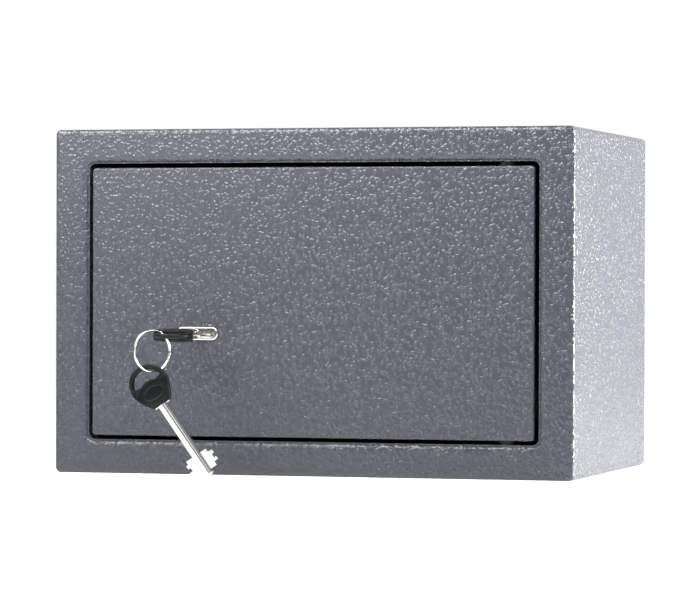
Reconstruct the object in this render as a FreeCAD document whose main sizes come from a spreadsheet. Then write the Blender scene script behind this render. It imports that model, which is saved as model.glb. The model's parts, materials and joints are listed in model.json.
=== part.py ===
import FreeCAD, Part

import math
import os

import Sketcher
from FreeCAD import Placement, Rotation, Vector

# A small key-locked furniture safe: sheet steel cabinet, hinged door with a double-bit lever
# lock that drives two locking bolts, and two keys on a ring, one of them in the lock.
# Frame: origin at the centre of the base, +X to the right seen from the front, +Y to the
# back, +Z up, millimetres. The door is shut and the bolts are drawn back.

os.makedirs("parts", exist_ok=True)
doc = FreeCAD.newDocument("Safe")

SIZES = {
    # cabinet
    "cabinet_width": 310.0, "cabinet_depth": 200.0, "cabinet_height": 200.0,
    "skin": 2.0, "edge_radius": 3.0, "rim_depth": 2.0, "back_inset": 1.0,
    "opening_width": 269.0, "opening_height": 160.5, "opening_corner": 3.6, "jamb_depth": 12.0,
    "lip_bend": 1.8, "anchor_hole_radius": 5.0, "anchor_spacing": 160.0,
    # door and its hinge
    "door_width": 264.0, "door_height": 155.5, "door_middle": 99.8, "door_skin": 3.0,
    "door_corner": 2.0, "door_edge": 0.8,
    "hinge_across": 115.0, "hinge_back": 7.8, "pin_radius": 2.5, "pin_length": 26.0,
    "pin_past_lip": 3.0, "pin_chamfer": 0.4, "bearing_gap": 0.05, "washer_radius": 5.5,
    "washer_gap": 0.1,
    "block_width": 14.0, "block_depth": 9.6, "block_height": 16.0,
    # keyhole and lock
    "keyhole_across": -67.5, "keyhole_up": 81.6, "bezel_length": 25.4, "bezel_height": 7.8,
    "bezel_proud": 1.0, "bezel_edge": 0.8, "slot_length": 20.0, "slot_height": 3.3,
    "keyhole_radius": 3.1,
    "case_left": -98.0, "case_right": -35.0, "case_bottom": 54.0, "case_top": 108.0,
    "case_depth": 13.6, "boss_radius": 3.5, "boss_inset": 5.0, "boss_hole_radius": 1.9,
    "cover_skin": 2.0, "screw_radius": 1.7, "screw_head_radius": 3.2, "screw_head": 2.2,
    "screw_edge": 0.8, "screw_reach": 8.0,
    "lever_thick": 1.8, "lever_pitch": 2.1, "lever_start": 0.6, "lever_left": -82.5,
    "lever_right": -46.0, "lever_bottom": 61.4, "lever_top": 97.0, "gate_width": 21.6,
    "gate_height": 24.0, "gate_step": 0.8, "post_across": -46.0, "post_up": 65.0, "post_radius": 2.5,
    "lever_eye_radius": 4.4, "spring_thick": 0.4, "spring_width": 1.2, "spring_length": 28.0,
    "spring_rise": 10.0, "spring_setback": 2.0,
    "rotor_radius": 6.25, "rotor_start": 0.3, "rotor_length": 13.0, "journal_radius": 4.5,
    "journal_length": 4.1, "rotor_slot": 3.1, "rotor_slot_reach": 8.0,
    "rotor_slot_depth": 11.8, "rotor_bore": 3.1, "rotor_bore_depth": 14.5,
    # bolt work
    "bolt_radius": 8.0, "bolt_end": -130.5, "bolt_back": 19.5, "bolt_low": 70.0,
    "bolt_high": 130.0, "bolt_chamfer": 1.2, "bar_left": -106.0, "bar_thick": 3.0,
    "bar_width": 22.0, "bar_corner": 3.0, "bar_start": 5.0, "bar_overhang": 14.0, "bolt_gap": 0.1,
    "tail_back": 7.0, "tail_thick": 3.0, "tail_height": 14.0, "window_wall": 4.0,
    "window_reach": 9.8, "bolt_travel": 12.0, "guide_left": -126.0, "guide_thick": 3.0,
    "guide_low": 52.0, "guide_high": 148.0, "guide_depth": 29.0, "guide_foot": 12.0,
    "guide_foot_thick": 2.0, "bolt_screw_radius": 5.0, "bolt_screw_head": 3.0,
    "bolt_screw_edge": 1.2,
    # inner cover of the door
    "tray_left": -128.0, "tray_right": 98.0, "tray_bottom": 30.0, "tray_top": 170.0,
    "tray_skin": 1.5, "tray_edge": 2.0, "tray_depth": 33.0, "tray_hole_radius": 9.0,
    "pillar_radius": 4.5, "pillar_inset": 12.0, "tray_screw_head_radius": 4.0,
    "tray_screw_head": 2.4, "tray_screw_edge": 1.0,
    # keys and ring
    "bow_radius": 11.4, "strap_radius": 1.5, "bow_length": 25.0, "bow_thick": 8.0,
    "neck_half": 5.4, "hub_radius": 6.4, "hub_crest": 10.2, "hub_turn": 36.9,
    "strap_turn": 99.8, "shaft_radius": 2.9, "shaft_length": 48.0,
    "bit_thick": 2.5, "bit_setback": 2.6, "tang_length": 1.2,
    "tang_thick": 2.2, "tip_chamfer": 0.8, "key_tip_back": 17.5,
    "key_droop": 0.8, "key_rest_back": 8.0,
    "ring_radius": 11.8, "wire_radius": 0.75, "ring_turn": 52.0, "ring_offset": 4.17,
    "wire_clear": 0.18, "spare_lean": 34.3, "spare_hang": 13.5, "spare_clear": 0.45, "spare_yaw": 12.0,
}

sheet = doc.addObject("Spreadsheet::Sheet", "Sizes")
for row, (alias, number) in enumerate(SIZES.items(), start=1):
    sheet.set(f"A{row}", alias)
    sheet.set(f"B{row}", str(number))
    sheet.setAlias(f"B{row}", alias)
doc.recompute()

nodes = {}


def size(alias):
    """The number in the sheet."""
    return float(sheet.get(alias))


def bound(text):
    """An expression in which each alias is read from the sheet."""
    words = sorted(SIZES, key=len, reverse=True)
    out = []
    word = ""
    for letter in text + " ":
        if letter.isalnum() or letter == "_":
            word += letter
            continue
        out.append(f"Sizes.{word}" if word in words else word)
        out.append(letter)
        word = ""
    return "".join(out).strip()


def bind(thing, **expressions):
    for path, text in expressions.items():
        thing.setExpression(path.replace("__", "."), bound(str(text)))


def place(thing, across, back, up):
    """Put an object at three expressions: across (X), back (Y) and up (Z)."""
    bind(thing, Placement__Base__x=across, Placement__Base__y=back, Placement__Base__z=up)


def node(name, thing):
    """Make an object a sub-part of the safe."""
    thing.Label = name
    nodes[name] = thing
    return thing


# --- shapes -------------------------------------------------------------------------------

def box(name, corner, sides):
    """A box from its low corner and its sides, all expressions."""
    made = doc.addObject("Part::Box", name)
    bind(made, Length=sides[0], Width=sides[1], Height=sides[2])
    place(made, *corner)
    return made


def rod(name, base, direction, radius, length):
    """A cylinder from its base point along a direction."""
    made = doc.addObject("Part::Cylinder", name)
    bind(made, Radius=radius, Height=length)
    made.Placement = Placement(Vector(), Rotation(Vector(0, 0, 1), direction))
    place(made, *base)
    return made


def joined(name, pieces):
    made = doc.addObject("Part::MultiFuse", name)
    made.Shapes = pieces
    return made


def cut(name, base, tools):
    made = doc.addObject("Part::Cut", name)
    made.Base = base
    made.Tool = tools[0] if len(tools) == 1 else joined(name + "_tools", tools)
    return made


def softened(name, base, radius, wanted, chamfer=False):
    """Round or chamfer the edges of an object that a test picks."""
    doc.recompute()
    made = doc.addObject("Part::Chamfer" if chamfer else "Part::Fillet", name)
    made.Base = base
    picked = [i for i, edge in enumerate(base.Shape.Edges, start=1) if wanted(edge)]
    if not picked:
        raise RuntimeError(f"{name}: no edge to soften")
    made.Edges = [(i, radius, radius) for i in picked]
    return made


BACK = Vector(0, 1, 0)
LEFT = Vector(-1, 0, 0)
UP = Vector(0, 0, 1)


# --- Part Design bodies -----------------------------------------------------------------------

def new_body(name):
    return doc.addObject("PartDesign::Body", name)


def new_sketch(body, name, role="XZ_Plane", offset=0.0):
    """A sketch on an origin plane of its own body, moved back by an offset."""
    sketch = body.newObject("Sketcher::SketchObject", name)
    plane = next(o for o in body.Origin.OriginFeatures if o.Role == role)
    sketch.AttachmentSupport = [(plane, "")]
    sketch.MapMode = "FlatFace"
    sketch.AttachmentOffset = Placement(Vector(0, 0, -offset), Rotation())
    return sketch


def dimension(sketch, kind, ends, expression):
    """A sized constraint that follows the sheet."""
    number = sketch.addConstraint(Sketcher.Constraint(kind, *ends, evaluated(expression)))
    sketch.setExpression(f"Constraints[{number}]", bound(str(expression)))


def evaluated(expression):
    """The present value of an expression in the sheet's aliases."""
    text = bound(str(expression))
    return float(getattr(sheet.evalExpression(text), "Value", sheet.evalExpression(text)))


def draw_rectangle(sketch, left, low, width, height):
    """A rectangle whose low left corner and sides are expressions."""
    x, y = evaluated(left), evaluated(low)
    w, t = evaluated(width), evaluated(height)
    first = sketch.GeometryCount
    corners = [Vector(x, y), Vector(x + w, y), Vector(x + w, y + t), Vector(x, y + t)]
    for i in range(4):
        sketch.addGeometry(Part.LineSegment(corners[i], corners[(i + 1) % 4]), False)
    for i in range(4):
        ends = (first + i, 2, first + (i + 1) % 4, 1)
        sketch.addConstraint(Sketcher.Constraint("Coincident", *ends))
        sketch.addConstraint(Sketcher.Constraint("Vertical" if i % 2 else "Horizontal", first + i))
    dimension(sketch, "DistanceX", (first, 1, first, 2), width)
    dimension(sketch, "DistanceY", (first + 1, 1, first + 1, 2), height)
    dimension(sketch, "DistanceX", (-1, 1, first, 1), left)
    dimension(sketch, "DistanceY", (-1, 1, first, 1), low)


def draw_circle(sketch, across, up, radius):
    number = sketch.GeometryCount
    middle = Vector(evaluated(across), evaluated(up))
    sketch.addGeometry(Part.Circle(middle, Vector(0, 0, 1), evaluated(radius)), False)
    dimension(sketch, "Radius", (number,), radius)
    dimension(sketch, "DistanceX", (-1, 1, number, 3), across)
    dimension(sketch, "DistanceY", (-1, 1, number, 3), up)


def draw_outline(sketch, pieces):
    """Lines and arcs given by their points, closed end to end."""
    for piece in pieces:
        points = [Vector(x, y) for x, y in piece]
        edge = Part.Arc(*points) if len(points) == 3 else Part.LineSegment(*points)
        sketch.addGeometry(edge, False)


def pad(body, sketch, length, backwards=True):
    made = body.newObject("PartDesign::Pad", sketch.Name + "_pad")
    made.Profile = sketch
    bind(made, Length=length)
    made.Reversed = backwards
    sketch.Visibility = False
    return made


def pocket(body, sketch, length):
    """Cut backwards from the sketch, and check that material went."""
    doc.recompute()
    before = body.Shape.Volume
    made = body.newObject("PartDesign::Pocket", sketch.Name + "_pocket")
    made.Profile = sketch
    bind(made, Length=length)
    made.Reversed = False
    doc.recompute()
    if body.Shape.Volume >= before - 1e-6:
        made.Reversed = True
        doc.recompute()
    if body.Shape.Volume >= before - 1e-6:
        raise RuntimeError(f"{made.Name} cuts nothing")
    return made


def dress(body, kind, radius, wanted):
    """A Part Design fillet or chamfer on the edges that a test picks."""
    doc.recompute()
    tip = body.Tip
    names = [f"Edge{i}" for i, edge in enumerate(tip.Shape.Edges, start=1) if wanted(edge)]
    if not names:
        raise RuntimeError(f"{body.Name}: no edge for the {kind}")
    made = body.newObject("PartDesign::" + kind, body.Name + "_" + kind.lower())
    made.Base = (tip, names)
    bind(made, **{"Radius" if kind == "Fillet" else "Size": radius})
    return made


def flat_at(edge, axis, value):
    """Whether an edge lies in the plane where one coordinate has a value."""
    spread = edge.BoundBox
    low, high = (getattr(spread, axis + end) for end in ("Min", "Max"))
    return abs(low - value) < 1e-4 and abs(high - value) < 1e-4


def upright(edge, across, up):
    """Whether an edge runs front to back through a point of the front view."""
    spread = edge.BoundBox
    runs_back = spread.YLength > 0.5 and spread.XLength < 1e-4 and spread.ZLength < 1e-4
    return runs_back and abs(abs(spread.XMin) - across) < 1e-3 and abs(abs(spread.ZMin) - up) < 1e-3


# --- cabinet ------------------------------------------------------------------------------------

def draw_opening(sketch, out):
    """The door opening's rectangle, larger all round by an expression."""
    draw_rectangle(sketch, f"-opening_width/2-{out}", f"(cabinet_height-opening_height)/2-{out}",
                   f"opening_width+2*{out}", f"opening_height+2*{out}")


def cabinet():
    half_w, tall = size("cabinet_width") / 2, size("cabinet_height")
    skin = size("skin")

    # The wrap: top, floor and sides in one folded sheet, with two anchor holes in the floor.
    body = new_body("cabinet_wrap")
    outline = new_sketch(body, "wrap_outline")
    draw_rectangle(outline, "-cabinet_width/2", 0, "cabinet_width", "cabinet_height")
    pad(body, outline, "cabinet_depth-rim_depth")
    dress(body, "Fillet", "edge_radius",
          lambda e: upright(e, half_w, 0) or upright(e, half_w, tall))
    hollow = new_sketch(body, "wrap_hollow")
    draw_rectangle(hollow, "-cabinet_width/2+skin", "skin",
                   "cabinet_width-2*skin", "cabinet_height-2*skin")
    pocket(body, hollow, "cabinet_depth")
    floor_holes = new_sketch(body, "floor_holes", "XY_Plane", offset=-skin)
    middle = "cabinet_depth/2-rim_depth"
    for side in ("-", ""):
        draw_circle(floor_holes, f"{side}anchor_spacing/2", middle, "anchor_hole_radius")
    pocket(body, floor_holes, "skin")
    place(body, 0, "-cabinet_depth/2+rim_depth", 0)
    node("cabinet_wrap", body)

    # The front frame: a flat border, its edges rounded outside and round the opening.
    body = new_body("front_frame")
    border = new_sketch(body, "frame_border")
    draw_rectangle(border, "-cabinet_width/2", 0, "cabinet_width", "cabinet_height")
    draw_opening(border, "0")
    pad(body, border, "rim_depth")
    dress(body, "Fillet", "edge_radius",
          lambda e: upright(e, half_w, 0) or upright(e, half_w, tall))
    across, low = size("opening_width") / 2, (tall - size("opening_height")) / 2

    def opening_corner(edge, out):
        return upright(edge, across + out, low - out) or upright(edge, across + out, tall - low + out)

    dress(body, "Fillet", "opening_corner", lambda e: opening_corner(e, 0))
    dress(body, "Fillet", "lip_bend", lambda e: flat_at(e, "Y", 0))
    place(body, 0, "-cabinet_depth/2", 0)
    node("front_frame", body)

    # The jamb: a band welded behind the border, bored for the hinge pins; the bolts lock behind it.
    body = new_body("jamb_band")
    band = new_sketch(body, "jamb_outline")
    draw_opening(band, "skin")
    draw_opening(band, "0")
    pad(body, band, "jamb_depth")
    dress(body, "Fillet", "opening_corner", lambda e: opening_corner(e, 0))
    dress(body, "Fillet", "opening_corner+skin", lambda e: opening_corner(e, skin))
    place(body, 0, "-cabinet_depth/2+rim_depth", 0)
    pins = rod("jamb_pin_holes",
               ("hinge_across", "-cabinet_depth/2+hinge_back",
                "(cabinet_height-opening_height)/2-skin-pin_past_lip"),
               UP, "pin_radius+bearing_gap", "2*pin_past_lip+opening_height+2*skin")
    node("door_jamb", cut("door_jamb", body, [pins]))

    # The back: a plate set in between the sides, with two anchor holes.
    body = new_body("rear_panel")
    plate = new_sketch(body, "back_plate")
    draw_rectangle(plate, "-cabinet_width/2+skin", "skin",
                   "cabinet_width-2*skin", "cabinet_height-2*skin")
    for side in ("-", ""):
        draw_circle(plate, f"{side}anchor_spacing/2", "cabinet_height/2", "anchor_hole_radius")
    pad(body, plate, "skin")
    place(body, 0, "cabinet_depth/2-back_inset-skin", 0)
    node("rear_panel", body)

    # Washers that carry and centre the door between the two lips.
    low_lip = "(cabinet_height-opening_height)/2"
    low_door = "door_middle-door_height/2"
    high_door = "door_middle+door_height/2"
    high_lip = "(cabinet_height+opening_height)/2"
    for name, start, end in (("hinge_washer_lower", low_lip, f"{low_door}-washer_gap"),
                             ("hinge_washer_upper", f"{high_door}+washer_gap", high_lip)):
        tall_text = f"({end})-({start})"
        foot = ("hinge_across", "-cabinet_depth/2+hinge_back", start)
        disc = rod(name + "_disc", foot, UP, "washer_radius", tall_text)
        hole = rod(name + "_hole", foot, UP, "pin_radius+2*bearing_gap", tall_text)
        node(name, cut(name, disc, [hole]))


# --- door ---------------------------------------------------------------------------------------

FACE = "-cabinet_depth/2"
DOOR_BACK = "-cabinet_depth/2+door_skin"


def obround(sketch, length, height):
    """A slot outline with round ends about the keyhole's centre."""
    reach = (size(length) - size(height)) / 2
    radius = size(height) / 2
    x, z = size("keyhole_across"), size("keyhole_up")
    draw_outline(sketch, [
        ((x - reach, z - radius), (x + reach, z - radius)),
        ((x + reach, z - radius), (x + reach + radius, z), (x + reach, z + radius)),
        ((x + reach, z + radius), (x - reach, z + radius)),
        ((x - reach, z + radius), (x - reach - radius, z), (x - reach, z - radius))])


def door():
    half_w = size("door_width") / 2
    low, high = (size("door_middle") + side * size("door_height") / 2 for side in (-1, 1))

    # The door plate, with an obround hole that the keyhole bezel fills.
    body = new_body("door_plate")
    face = new_sketch(body, "door_face")
    draw_rectangle(face, "-door_width/2", "door_middle-door_height/2", "door_width", "door_height")
    pad(body, face, "door_skin")
    dress(body, "Fillet", "door_corner",
          lambda e: upright(e, half_w, low) or upright(e, half_w, high))
    hole = new_sketch(body, "door_keyhole")
    obround(hole, "bezel_length", "bezel_height")
    pocket(body, hole, "door_skin")
    dress(body, "Fillet", "door_edge",
          lambda e: flat_at(e, "Y", 0) and not 50 < e.BoundBox.ZMin < 110)
    place(body, 0, FACE, 0)
    node("door_plate", body)

    # Hinge blocks on the back of the plate hold the pins that turn in the frame's lips.
    ends = (("lower", "door_middle-door_height/2",
             "(cabinet_height-opening_height)/2-skin-pin_past_lip"),
            ("upper", "door_middle+door_height/2-block_height",
             "(cabinet_height+opening_height)/2+skin+pin_past_lip-pin_length"))
    for end, block_foot, pin_foot in ends:
        block = box(f"block_{end}", ("hinge_across-block_width/2", DOOR_BACK, block_foot),
                    ("block_width", "block_depth", "block_height"))
        bore = rod(f"block_{end}_bore", ("hinge_across", f"{FACE}+hinge_back", block_foot),
                   UP, "pin_radius", "block_height")
        node(f"hinge_block_{end}", cut(f"hinge_block_{end}", block, [bore]))
        pin = rod(f"pin_{end}", ("hinge_across", f"{FACE}+hinge_back", pin_foot),
                  UP, "pin_radius", "pin_length")
        node(f"hinge_pin_{end}",
             softened(f"hinge_pin_{end}", pin, size("pin_chamfer"),
                      lambda e: e.Curve.TypeId == "Part::GeomCircle", chamfer=True))

    # The bezel: a plated block with the key's slot through it.
    body = new_body("keyhole_bezel")
    outline = new_sketch(body, "bezel_outline")
    obround(outline, "bezel_length", "bezel_height")
    pad(body, outline, "door_skin+bezel_proud")
    dress(body, "Fillet", "bezel_edge", lambda e: flat_at(e, "Y", 0))
    slot = new_sketch(body, "bezel_slot")
    draw_rectangle(slot, "keyhole_across-slot_length/2", "keyhole_up-slot_height/2",
                   "slot_length", "slot_height")
    pocket(body, slot, "door_skin+bezel_proud")
    shaft_hole = new_sketch(body, "bezel_round")
    draw_circle(shaft_hole, "keyhole_across", "keyhole_up", "keyhole_radius")
    pocket(body, shaft_hole, "door_skin+bezel_proud")
    place(body, 0, f"{FACE}-bezel_proud", 0)
    node("keyhole_bezel", body)


def inner_cover():
    """The tray over the lock and bolt work, its pillars and screws."""
    outer = box("tray_outer", ("tray_left", DOOR_BACK, "tray_bottom"),
                ("tray_right-tray_left", "tray_depth", "tray_top-tray_bottom"))
    back = evaluated(f"{DOOR_BACK}+tray_depth")
    rounded = softened("tray_rounded", outer, size("tray_edge"), lambda e: flat_at(e, "Y", back))
    inner = box("tray_inner", ("tray_left+tray_skin", DOOR_BACK, "tray_bottom+tray_skin"),
                ("tray_right-tray_left-2*tray_skin", "tray_depth-tray_skin",
                 "tray_top-tray_bottom-2*tray_skin"))
    holes = [rod(f"tray_bolt_hole_{at}", ("tray_left+2*tray_skin", f"{FACE}+door_skin+bolt_back", at),
                 LEFT, "tray_hole_radius", "3*tray_skin") for at in ("bolt_low", "bolt_high")]
    floor = f"{DOOR_BACK}+tray_depth-tray_skin"
    spots = [(across, up) for across in ("tray_left+2*pillar_inset", "tray_right-pillar_inset")
             for up in ("tray_bottom+pillar_inset", "tray_top-pillar_inset")]
    pillars, taps, screws = [], [], []
    for number, (across, up) in enumerate(spots, start=1):
        pillars.append(rod(f"pillar_{number}", (across, DOOR_BACK, up), BACK,
                           "pillar_radius", "tray_depth-tray_skin"))
        taps.append(rod(f"pillar_tap_{number}", (across, f"{floor}-screw_reach", up), BACK,
                        "screw_radius", "screw_reach"))
        holes.append(rod(f"tray_screw_hole_{number}", (across, f"{floor}-tray_skin", up), BACK,
                         "boss_hole_radius", "3*tray_skin"))
        screws.append(screw(f"tray_screw_{number}", (across, floor, up), "tray_skin",
                            "tray_screw_head_radius", "tray_screw_head", "tray_screw_edge"))
    node("inner_cover", cut("inner_cover", rounded, [inner] + holes))
    node("cover_pillars", cut("cover_pillars", grouped("pillar_group", pillars), taps))
    node("cover_screws", grouped("cover_screws", screws))


def screw(name, seat, grip, radius, head, edge):
    """A screw that runs forwards from its seat; its head lies behind the sheet that it grips."""
    across, floor, up = seat
    shank = rod(f"{name}_shank", (across, f"{floor}-screw_reach", up), BACK,
                "screw_radius", f"screw_reach+{grip}")
    cap = rod(f"{name}_head", (across, f"{floor}+{grip}", up), BACK, radius, head)
    back = evaluated(f"{floor}+{grip}+{head}")
    return softened(name, joined(f"{name}_raw", [shank, cap]), size(edge),
                    lambda e: flat_at(e, "Y", back))


def grouped(name, pieces):
    """Like pieces kept as separate solids of one sub-part."""
    made = doc.addObject("Part::Compound", name)
    made.Links = pieces
    return made


# --- lock ---------------------------------------------------------------------------------------

def lock():
    key_x, key_z = "keyhole_across", "keyhole_up"
    wide, tall = "case_right-case_left", "case_top-case_bottom"

    # The case: a rim with a screw boss in each corner, open towards the door plate.
    rim = box("case_rim", ("case_left", DOOR_BACK, "case_bottom"), (wide, "case_depth", tall))
    inside = box("case_inside", ("case_left+skin", DOOR_BACK, "case_bottom+skin"),
                 (f"{wide}-2*skin", "case_depth", f"{tall}-2*skin"))
    spots = [(x, z) for x in ("case_left+boss_inset", "case_right-boss_inset")
             for z in ("case_bottom+boss_inset", "case_top-boss_inset")]
    bosses = [rod(f"boss_{i}", (x, DOOR_BACK, z), BACK, "boss_radius", "case_depth")
              for i, (x, z) in enumerate(spots)]
    drilled = [rod(f"boss_hole_{i}", (x, DOOR_BACK, z), BACK, "boss_hole_radius", "case_depth")
               for i, (x, z) in enumerate(spots)]
    exit_slot = box("case_exit", ("case_left-skin", f"{DOOR_BACK}+tail_back-3*bolt_gap",
                                  "keyhole_up-tail_height/2-3*bolt_gap"),
                    ("3*skin", "tail_thick+6*bolt_gap", "tail_height+6*bolt_gap"))
    shell = joined("case_solid", [cut("case_walls", rim, [inside])] + bosses)
    node("lock_case", cut("lock_case", shell, drilled + [exit_slot]))

    # The cover carries the rotor's journal.
    plate = box("cover_plate", ("case_left", f"{DOOR_BACK}+case_depth", "case_bottom"),
                (wide, "cover_skin", tall))
    seat = rod("cover_seat", (key_x, f"{DOOR_BACK}+case_depth", key_z), BACK,
               "journal_radius+bearing_gap", "cover_skin")
    through = [rod(f"cover_hole_{i}", (x, f"{DOOR_BACK}+case_depth", z), BACK,
                   "boss_hole_radius", "cover_skin") for i, (x, z) in enumerate(spots)]
    node("lock_cover", cut("lock_cover", plate, [seat] + through))
    screws = [screw(f"lock_screw_{i}", (x, f"{DOOR_BACK}+case_depth", z), "cover_skin",
                    "screw_head_radius", "screw_head", "screw_edge")
              for i, (x, z) in enumerate(spots)]
    node("lock_screws", grouped("lock_screws", screws))

    # The post that the levers turn on.
    node("lever_post", rod("lever_post", ("post_across", DOOR_BACK, "post_up"), BACK,
                           "post_radius", "case_depth"))

    # Three levers, each with its own leaf spring.
    for number in (1, 2, 3):
        front = f"{DOOR_BACK}+lever_start+{number - 1}*lever_pitch"
        body = new_body(f"lever_{number}")
        outline = new_sketch(body, f"lever_{number}_outline")
        draw_rectangle(outline, "lever_left", "lever_bottom",
                       "lever_right-lever_left", "lever_top-lever_bottom")
        pad(body, outline, "lever_thick")
        eye = new_sketch(body, f"lever_{number}_eye")
        draw_circle(eye, "post_across", "post_up", "lever_eye_radius")
        pad(body, eye, "lever_thick")
        bore = new_sketch(body, f"lever_{number}_bore")
        draw_circle(bore, "post_across", "post_up", "post_radius+bearing_gap")
        pocket(body, bore, "lever_thick")
        gate = new_sketch(body, f"lever_{number}_gate")
        draw_rectangle(gate, "keyhole_across-gate_width/2", "keyhole_up-gate_height/2",
                       "gate_width", f"gate_height+{number - 2}*gate_step")
        pocket(body, gate, "lever_thick")
        place(body, 0, front, 0)
        node(f"lever_{number}", body)

        leaf = box(f"leaf_{number}", ("lever_right-spring_setback",
                                      f"{front}+(lever_thick-spring_width)/2",
                                      "lever_top+spring_thick"),
                   ("spring_length", "spring_width", "spring_thick"))
        leaf.Placement.Rotation = Rotation(Vector(0, 1, 0), 180 + size("spring_rise"))
        node(f"lever_spring_{number}", leaf)

    # The rotor: a slotted drum that the key's bits turn, with a journal behind it.
    front = f"{DOOR_BACK}+rotor_start"
    drum = rod("rotor_drum", (key_x, front, key_z), BACK, "rotor_radius", "rotor_length")
    journal = rod("rotor_journal", (key_x, f"{front}+rotor_length", key_z), BACK,
                  "journal_radius", "journal_length")
    slot = box("rotor_slot_cut", ("keyhole_across-rotor_slot_reach", front,
                                  "keyhole_up-rotor_slot/2"),
               ("2*rotor_slot_reach", "rotor_slot_depth", "rotor_slot"))
    bore = rod("rotor_bore_cut", (key_x, front, key_z), BACK, "rotor_bore", "rotor_bore_depth")
    node("keyway_rotor", cut("keyway_rotor", joined("rotor_solid", [drum, journal]), [slot, bore]))


# --- bolt work ------------------------------------------------------------------------------------

def bolt_work():
    axis_y = f"{DOOR_BACK}+bolt_back"

    # The lock bolt: a window round the key's path and a tail that leaves the case.
    back = f"{DOOR_BACK}+tail_back"
    window_left = "keyhole_across-window_reach"
    window_wide = "2*window_reach+bolt_travel"
    wall_box = box("tail_wall", (f"{window_left}-window_wall", back,
                                 "keyhole_up-window_reach-window_wall"),
                   (f"{window_wide}+2*window_wall", "tail_thick",
                    "2*(window_reach+window_wall)"))
    tail = box("tail_strip", ("bar_left+bar_thick", back, "keyhole_up-tail_height/2"),
               (f"{window_left}-bar_left-bar_thick", "tail_thick", "tail_height"))
    window = box("tail_window", (window_left, back, "keyhole_up-window_reach"),
                 (window_wide, "tail_thick", "2*window_reach"))
    node("lock_bolt", cut("lock_bolt", joined("tail_solid", [wall_box, tail]), [window]))

    # The bar ties the lock bolt to the two locking bolts.
    bar = box("bar_raw", ("bar_left", f"{DOOR_BACK}+bar_start", "bolt_low-bar_overhang"),
              ("bar_thick", "bar_width", "bolt_high-bolt_low+2*bar_overhang"))
    node("bolt_bar", softened("bolt_bar", bar, size("bar_corner"),
                              lambda e: abs(e.BoundBox.DiagonalLength - size("bar_thick")) < 1e-4))
    heads = []
    for name, level in (("locking_bolt_lower", "bolt_low"), ("locking_bolt_upper", "bolt_high")):
        plain = rod(name + "_rod", ("bar_left", axis_y, level), LEFT, "bolt_radius",
                    "bar_left-bolt_end")
        tip = evaluated("bolt_end")
        node(name, softened(name, plain, size("bolt_chamfer"),
                            lambda e, tip=tip: flat_at(e, "X", tip), chamfer=True))
        head = rod(name + "_screw", ("bar_left+bar_thick+bolt_screw_head", axis_y, level), LEFT,
                   "bolt_screw_radius", "bolt_screw_head")
        outer = evaluated("bar_left+bar_thick+bolt_screw_head")
        heads.append(softened(name + "_screw_head", head, size("bolt_screw_edge"),
                              lambda e, outer=outer: flat_at(e, "X", outer)))
    node("bolt_screws", grouped("bolt_screws", heads))

    # The guide: an angle on the door plate with a bearing hole for each bolt.
    web = box("guide_web", ("guide_left", DOOR_BACK, "guide_low"),
              ("guide_thick", "guide_depth", "guide_high-guide_low"))
    foot = box("guide_foot", ("guide_left", DOOR_BACK, "guide_low"),
               ("guide_foot", "guide_foot_thick", "guide_high-guide_low"))
    holes = [rod(f"guide_hole_{level}", ("guide_left+2*guide_thick", axis_y, level), LEFT,
                 "bolt_radius+bolt_gap", "3*guide_thick") for level in ("bolt_low", "bolt_high")]
    node("bolt_guide", cut("bolt_guide", joined("guide_solid", [web, foot]), holes))


# --- keys and ring ----------------------------------------------------------------------------

# Each key is drawn along +X from the end of its bow, its bits and bow spread along Y.
BITS_LEFT = ((2.2, 8.0), (2.4, 9.2), (2.2, 6.8), (2.2, 8.4), (2.2, 7.0))
BITS_RIGHT = ((2.4, 6.6), (2.0, 9.2), (2.2, 7.8), (2.4, 9.2), (2.2, 6.6))


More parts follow.
